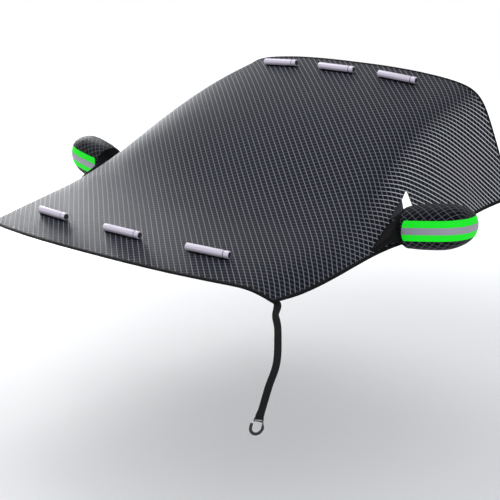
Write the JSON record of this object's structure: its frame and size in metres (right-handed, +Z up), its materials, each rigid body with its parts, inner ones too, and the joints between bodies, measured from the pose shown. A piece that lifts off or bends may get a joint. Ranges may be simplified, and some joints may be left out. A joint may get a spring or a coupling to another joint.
{
  "type": "windshield cover",
  "caption": "Soft windshield cover draped over a sloping screen, with side flaps, bound edge, mirror pockets banded in reflective tape, rod magnets and tie straps with hooks.",
  "frame": {"origin": "on the underside of the cloth, on the middle line, at the foot of the windshield: the point where the cover is draped and held up", "axes": "+X across the cover, towards the side that is nearer the camera in the picture; +Y from the front hem back to the roof hem; +Z up"},
  "size_m": [2.2906, 1.8756, 1.0831],
  "materials": {
    "quilted_cloth": "quilted composite cloth with woven pale lines, slightly shiny",
    "binding_tape": "matt woven tape",
    "plain_cloth": "plain black polyester",
    "elastic": "covered elastic cord",
    "green_tape": "fluorescent green tape",
    "grey_tape": "grey reflective tape",
    "magnet": "nickel plate, satin",
    "webbing": "black webbing",
    "nylon": "black moulded nylon"
  },
  "bodies": {
    "root": {"cover_sheet": "quilted_cloth", "edge_binding": "binding_tape", "mirror_cover_left": "quilted_cloth", "mirror_gusset_left": "plain_cloth", "mouth_elastic_left": "elastic", "slit_facing_left": "plain_cloth", "green_tape_left": "green_tape", "grey_tape_left": "grey_tape", "tie_strap_left": "webbing", "strap_hook_left": "nylon", "mirror_cover_right": "quilted_cloth", "mirror_gusset_right": "plain_cloth", "mouth_elastic_right": "elastic", "slit_facing_right": "plain_cloth", "green_tape_right": "green_tape", "grey_tape_right": "grey_tape", "tie_strap_right": "webbing", "strap_hook_right": "nylon", "magnet_pad_front_right": "plain_cloth", "magnet_front_right": "magnet", "magnet_pad_front_middle": "plain_cloth", "magnet_front_middle": "magnet", "magnet_pad_front_left": "plain_cloth", "magnet_front_left": "magnet", "magnet_pad_roof_right": "plain_cloth", "magnet_roof_right": "magnet", "magnet_pad_roof_middle": "plain_cloth", "magnet_roof_middle": "magnet", "magnet_pad_roof_left": "plain_cloth", "magnet_roof_left": "magnet"}
  },
  "joints": []
}
